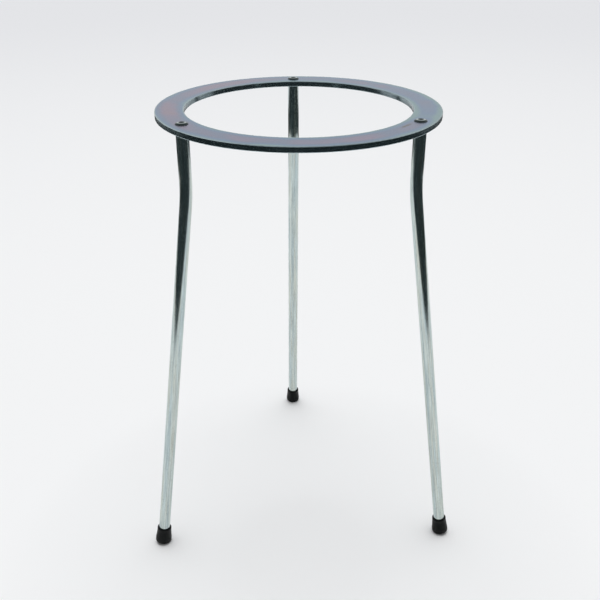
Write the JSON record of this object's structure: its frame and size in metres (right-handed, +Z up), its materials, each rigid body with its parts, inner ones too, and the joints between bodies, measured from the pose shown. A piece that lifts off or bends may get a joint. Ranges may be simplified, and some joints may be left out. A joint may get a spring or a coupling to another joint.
{
  "type": "lab tripod stand",
  "caption": "Laboratory tripod stand: flat plate ring on splayed rod legs riveted through it, with soft black foot caps.",
  "frame": {"origin": "on the ring's axis at the level of the bench that the three foot caps stand on", "axes": "+Z up along the ring's axis, +Y towards the rear leg, +X to the right as seen from the front, between the two front legs"},
  "size_m": [0.1796, 0.178, 0.2539],
  "materials": {
    "ring_plate": "zinc plated steel plate with an iridescent blue and mauve passivation",
    "leg_rod": "bright zinc plated drawn steel rod with fine lengthwise draw marks",
    "foot_cap": "soft black moulded vinyl, slightly glossy"
  },
  "bodies": {
    "root": {"support_ring": "ring_plate", "leg_front_left": "leg_rod", "leg_front_right": "leg_rod", "leg_rear": "leg_rod", "foot_cap_front_left": "foot_cap", "foot_cap_front_right": "foot_cap", "foot_cap_rear": "foot_cap"}
  },
  "joints": []
}
